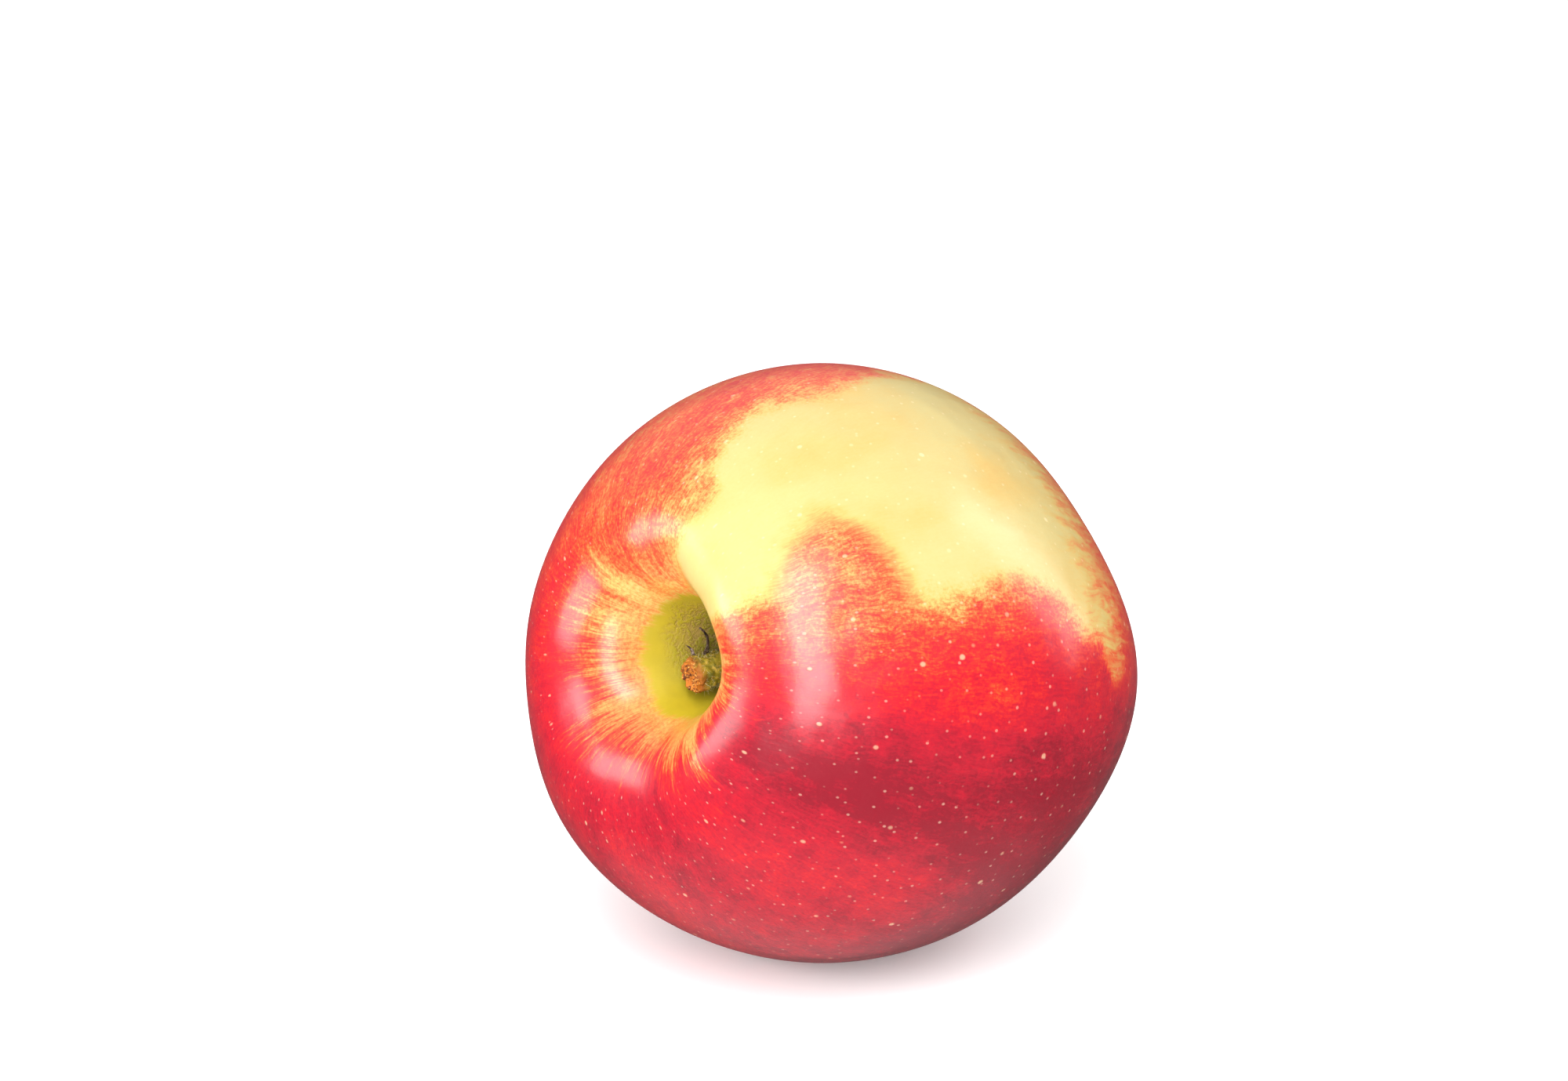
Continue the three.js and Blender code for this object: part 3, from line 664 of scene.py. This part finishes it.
def stemRelief(centre, reach, turn, part):
    # ridges along the shaft, a lumpy collar under the tip, and a torn, pitted end
    s = stemSizes
    spot = centre + reach
    ridge = s["ridgeHeight"] * math.sin(s["ridges"] * turn + 2.5 * part) * ease(0.05, 0.3, part)
    lumps = sum(height * noise.noise(spot * waves) for height, waves in s["lumps"])
    height, waves = s["collar"]
    collar = height * noise.noise(spot * waves + Vector((5, 0, 0))) * ease(0.6, 0.88, part)
    if part <= s["shaftEnd"]:
        return ridge + lumps + collar, 0
    torn = sum(height * noise.noise(spot * waves) for height, waves in s["torn"])
    return (lumps + collar) * min(reach.length / s["radius"], 1), torn * ease(0.95, 0.97, part)


def makeStem():
    s = stemSizes
    rings = []
    for i in range(s["along"]):
        t = s["shaftEnd"] * i / (s["along"] - 1)
        rings.append((stemCentre(t), stemWay(t), (stemRadius(t), stemRadius(t)), t))
    tip, way = stemCentre(1), stemWay(1)
    for i, (width, height) in enumerate(s["tornEnd"]):
        radius = stemRadius(0.97) * width
        share = 0.955 + 0.045 * i / (len(s["tornEnd"]) - 1)
        rings.append((tip + way * height, way, (radius, radius), share))
    stem = sweep("stemWood", rings, direction(0), s["around"], stemRelief)
    stem.data.materials.append(patchyFinish("barkyStemWood", **stemFinish))
    keep(stem, "stem", "stem")

    def onShaft(mesh):
        shares = np.empty(len(mesh.vertices))
        mesh.attributes["share"].data.foreach_get("value", shares)
        return ((shares > 0.12) & (shares < 0.93)).astype(np.float32)

    down = growDown("stemDown", stem, stemDown, patchyFinish("paleDown", **downFinish), onShaft)
    keep(down, "stem")
    print("stem made")


makeStem()

bractRings, bractSides = 41, 18
# share of the stem below it, side that it is on, how far it stands out, bend, hook and half width, in mm
bractSizes = [
    {"along": 0.8, "side": 195, "out": 2.9, "bend": 1.5, "hook": 1.1, "halfWidth": 0.65, "thick": 0.2, "twist": 1.9},
    {"along": 0.9, "side": 208, "out": 1.1, "bend": 0, "hook": 1.2, "halfWidth": 0.38, "thick": 0.14, "twist": -1.2},
    {"along": 0.62, "side": 188, "out": 0.7, "bend": 0, "hook": 0.1, "halfWidth": 0.42, "thick": 0.2, "twist": 0.6},
]
# withered bracts: thin, grey-brown and dead matt, wrinkled at a quarter of a mm, darker to the tip
bractFinish = {
    "base": "#44342b", "layers": [("#7f6e64", 0.5, 0.5, 0.68, -2, -1), ("#20150f", 0.8, 0.5, 0.62, 0.3, 0.8)],
    "roughness": 0.85, "bumps": [(0.25, 0.05)],
}


def makeBracts(sizes):
    material = patchyFinish("witheredBract", **bractFinish)
    for number, s in enumerate(sizes, 1):
        outwards = direction(s["side"])
        radius = stemRadius(s["along"])
        foot = stemCentre(s["along"]) + outwards * (radius - 0.35)
        middle = stemCentre(s["along"]) + outwards * (radius + 0.5 + s["out"] * 0.65) - Vector((0, 0, s["bend"]))
        tip = stemCentre(s["along"]) + outwards * (radius + 0.5 + s["out"]) + Vector((0, 0, s["hook"]))
        rings = []
        for i in range(bractRings):
            t = i / (bractRings - 1)
            centre = foot * (1 - t) ** 2 + middle * 2 * t * (1 - t) + tip * t * t
            way = (middle - foot) * (1 - t) + (tip - middle) * t
            taper = (1 - 0.75 * t) * (1 + 0.7 * (1 - ease(0, 0.25, t))) * max(1 - t ** 8, 0.1)
            rings.append((centre, way, (s["halfWidth"] * taper, s["thick"] * (1 - 0.5 * t)), t))

        def crinkle(centre, reach, turn, part):
            # shrivelled as it dried
            spot = centre + reach + Vector((0, 0, 3 * number))
            return 0.12 * noise.noise(spot * 2.5), 0.1 * noise.noise(spot * 3.5)

        bract = sweep(f"bract{number}", rings, direction(s["side"] + 90 + 40 * s["twist"]), bractSides, crinkle)
        bract.data.materials.append(material)
        keep(bract, "bract", f"bract_{number}")
    print("bracts made")


makeBracts(bractSizes)

sepalSizes = {
    "count": 5, "firstAngle": 28.9, "ringRadius": 3.3, "length": 7, "width": 3.0, "thickness": 0.3,
    "spread": 2.6, "pinch": 0.5, "cup": 0.9, "crinkle": 0.35, "around": 32, "along": 60, "rootHeight": -31.9,
}
# dried sepals: leathery, olive to dark brown, with pale flecks of felt a third of a mm across
sepalFinish = {
    "base": "#6b5a34",
    "layers": [("#8d8052", 0.9, 0.45, 0.62, -2, -1), ("#3b2a1a", 1.3, 0.4, 0.6, 0.35, 0.9),
               ("#a89a76", 0.3, 0.55, 0.7, -2, -1)],
    "roughness": 0.85, "bumps": [(0.3, 0.06), (0.9, 0.08)],
}
sepalDown = {"perSquareMm": 5, "length": 0.8, "thickness": 0.022, "bend": 0.35, "lean": 0.6, "unevenness": 0.6,
             "seed": 23}


def makeCalyx(s):
    # dried sepals: each rises out of the basin, leans in over the eye and curls back at its tip
    parts = []
    for number in range(s["count"]):
        angle = s["firstAngle"] + 360 * number / s["count"]
        outwards, side = direction(angle), direction(angle + 90)
        length = s["length"] * (1 + 0.08 * math.sin(2.3 * number))
        corners = [(0, 0), (-s["pinch"], 0.45), (-s["pinch"] / 2, 0.9),
                   (s["spread"], 0.8 + 0.06 * math.sin(number * 4))]
        points = [outwards * (s["ringRadius"] + out) + Vector((0, 0, s["rootHeight"] - length * down))
                  for out, down in corners]
        rings = []
        for i in range(s["along"]):
            t = i / (s["along"] - 1)
            a, b, c, d = points
            centre = a * (1 - t) ** 3 + b * 3 * t * (1 - t) ** 2 + c * 3 * t * t * (1 - t) + d * t ** 3
            way = (b - a) * (1 - t) ** 2 + (c - b) * 2 * t * (1 - t) + (d - c) * t * t
            taper = 1 - 0.93 * t ** 1.6
            centre += side * 0.5 * t * t * math.sin(number * 2.1)
            rings.append((centre, way, (s["width"] / 2 * taper, s["thickness"] / 2 * (1 - 0.5 * t)), t))

        def curl(centre, reach, turn, part):
            # edges turned in, and crinkled as they dried
            spot = (centre + reach) * 0.9 + Vector((7 * number, 0, 0))
            return s["crinkle"] * noise.noise(spot) * (0.3 + part), -s["cup"] * math.cos(turn) ** 2 * 0.4

        parts.append(sweep(f"sepal{number + 1}", rings, side, s["around"], curl))
    material = patchyFinish("driedSepal", **sepalFinish)
    down = patchyFinish("greyDown", **{**downFinish, "base": "#b8ae98"})
    for number, sepal in enumerate(parts, 1):
        sepal.data.materials.append(material)
        keep(sepal, "sepal", f"sepal_{number}")
        hairs = growDown(f"sepalDown{number}", sepal, {**sepalDown, "seed": sepalDown["seed"] + number}, down,
                         lambda mesh: np.ones(len(mesh.vertices), np.float32))
        keep(hairs, "sepal")
    print("calyx made")


makeCalyx(sepalSizes)

stamenSizes = {
    "discRadius": 1.25, "height": -28.0, "around": 24,
    "profile": [(0.9, 0.5), (1, 0.2), (1, -0.1), (0.8, -0.35), (0.5, -0.5), (0.1, -0.55)],  # share of it, and mm
}
stamenThreads = {"perSquareMm": 5, "length": 3.1, "thickness": 0.16, "bend": 0.7, "lean": 0.22, "unevenness": 0.35,
                 "seed": 5}
# dried stamens: brittle dark brown threads, dusty and quite matt
stamenFinish = {"base": "#3d2c1c", "layers": [("#75603c", 0.5, 0.5, 0.65, -2, -1)], "roughness": 0.9,
                "bumps": [(0.3, 0.05)]}


def makeStamens(s):
    # a low button on the eye's floor, with the dried threads standing on it in one tuft
    rings = []
    for i, (width, height) in enumerate(s["profile"]):
        radius = s["discRadius"] * width
        share = i / (len(s["profile"]) - 1)
        rings.append((Vector((0, 0, s["height"] + height)), Vector((0, 0, -1)), (radius, radius), share))
    button = sweep("stamenButton", rings, direction(0), s["around"])
    material = patchyFinish("driedStamen", **stamenFinish)
    button.data.materials.append(material)

    def onTop(mesh):
        shares = np.empty(len(mesh.vertices))
        mesh.attributes["share"].data.foreach_get("value", shares)
        return (shares > 0.5).astype(np.float32)

    threads = growDown("stamenThreads", button, stamenThreads, material, onTop)
    keep(button, "stamens", "dried_stamens")
    keep(threads, "stamens")
    print("stamens made")


makeStamens(stamenSizes)

cavityDown = {"perSquareMm": 2.2, "length": 0.8, "thickness": 0.022, "bend": 0.35, "lean": 0.6, "unevenness": 0.6,
              "seed": 31}
downySide = 150  # degrees round the axis, where the cavity's down is thickest


def makeCavityDown():
    # fine pale hairs on the cavity's floor and lower wall, thickest on the russet side, and in the eye
    def inHollows(mesh):
        places = np.empty(len(mesh.vertices) * 3, np.float32)
        mesh.attributes["skinPlace"].data.foreach_get("vector", places)
        cosine, sine, along = places.reshape(-1, 3).T
        turn = math.radians(downySide)
        side = 0.5 + 0.5 * (cosine * math.cos(turn) + sine * math.sin(turn))
        inCavity, inEye = np.clip((12 - along) / 5, 0, 1), np.clip((along - 130) / 3, 0, 1)
        return (inCavity * (0.25 + side) + inEye * 0.8).astype(np.float32)

    down = growDown("hollowDown", fruit, cavityDown, patchyFinish("hollowDown", **downFinish), inHollows)
    keep(down, "skin")
    print("down made")


makeCavityDown()

studio = {
    "floorColour": "#f8f8f8", "floorHalfSide": 4.0, "floorRoughness": 0.9, "floorSpecular": 0.1,
    "ceiling": 1.02, "walls": 0.13, "below": 0.4, "glow": 0.15,  # strengths of the light all round
    "lightsAimAt": (0, 0, 0.04),
    "lights": {
        # direction from the apple, distance and sides in metres, and strength in watts
        "keyStrip": ((-0.1, -0.8, 0.56), 0.9, (0.27, 1.25), 13.0),
        "sideWindow": ((0.83, 0.26, 0.45), 0.9, (0.3, 0.8), 2.8),
        "leftFill": ((-0.92, -0.38, 0.26), 0.9, (0.5, 0.42), 4.6),
    },
}


def makeStudio(s):
    # a light ceiling over darker walls, three softboxes, and a sheet of white paper
    scene = bpy.context.scene
    scene.view_settings.view_transform = "Standard"
    world = bpy.data.worlds.new("paleStudio")
    world.use_nodes = True
    background = world.node_tree.nodes["Background"]
    background.inputs["Color"].default_value = (1, 1, 1, 1)
    split = world.node_tree.nodes.new("ShaderNodeSeparateXYZ")
    world.node_tree.links.new(addNode(world.node_tree, "ShaderNodeTexCoord"), split.inputs[0])
    known = {"up": split.outputs[2], "ceiling": s["ceiling"], "walls": s["walls"], "below": s["below"]}
    glow = formula(world.node_tree, "walls + (ceiling - walls) * smooth(-0.15, 0.85, up)"
                                    " + below * smooth(-0.62, -0.92, up)", known)
    world.node_tree.links.new(glow, background.inputs["Strength"])
    scene.world = world
    for name, (towards, distance, sides, power) in s["lights"].items():
        data = bpy.data.lights.new(name, "AREA")
        data.shape, data.energy = "RECTANGLE", power
        data.size, data.size_y = sides
        light = bpy.data.objects.new(name, data)
        light.location = Vector(towards).normalized() * distance + Vector(s["lightsAimAt"])
        light.rotation_euler = Vector(towards).to_track_quat("Z", "Y").to_euler()
        scene.collection.objects.link(light)
    mesh = bpy.data.meshes.new("paleFloor")
    edge = s["floorHalfSide"]
    mesh.from_pydata([(-edge, -edge, 0), (edge, -edge, 0), (edge, edge, 0), (-edge, edge, 0)], [], [(0, 1, 2, 3)])
    floor = bpy.data.objects.new("paleFloor", mesh)
    scene.collection.objects.link(floor)
    material = bpy.data.materials.new("whiteSweepPaper")
    material.use_nodes = True
    shader = material.node_tree.nodes["Principled BSDF"]
    # matt paper just off white, with hardly any shine of its own
    shader.inputs["Base Color"].default_value = toLinear(s["floorColour"])
    shader.inputs["Roughness"].default_value = s["floorRoughness"]
    shader.inputs["Specular IOR Level"].default_value = s["floorSpecular"]
    shader.inputs["Emission Color"].default_value = (1, 1, 1, 1)
    shader.inputs["Emission Strength"].default_value = s["glow"]  # the paper glows a little: painted light that keeps its shadows light
    mesh.materials.append(material)
    floor.visible_glossy = False  # the skin mirrors the studio's glow from below, and keeps its deep red
    print("studio set")


makeStudio(studio)
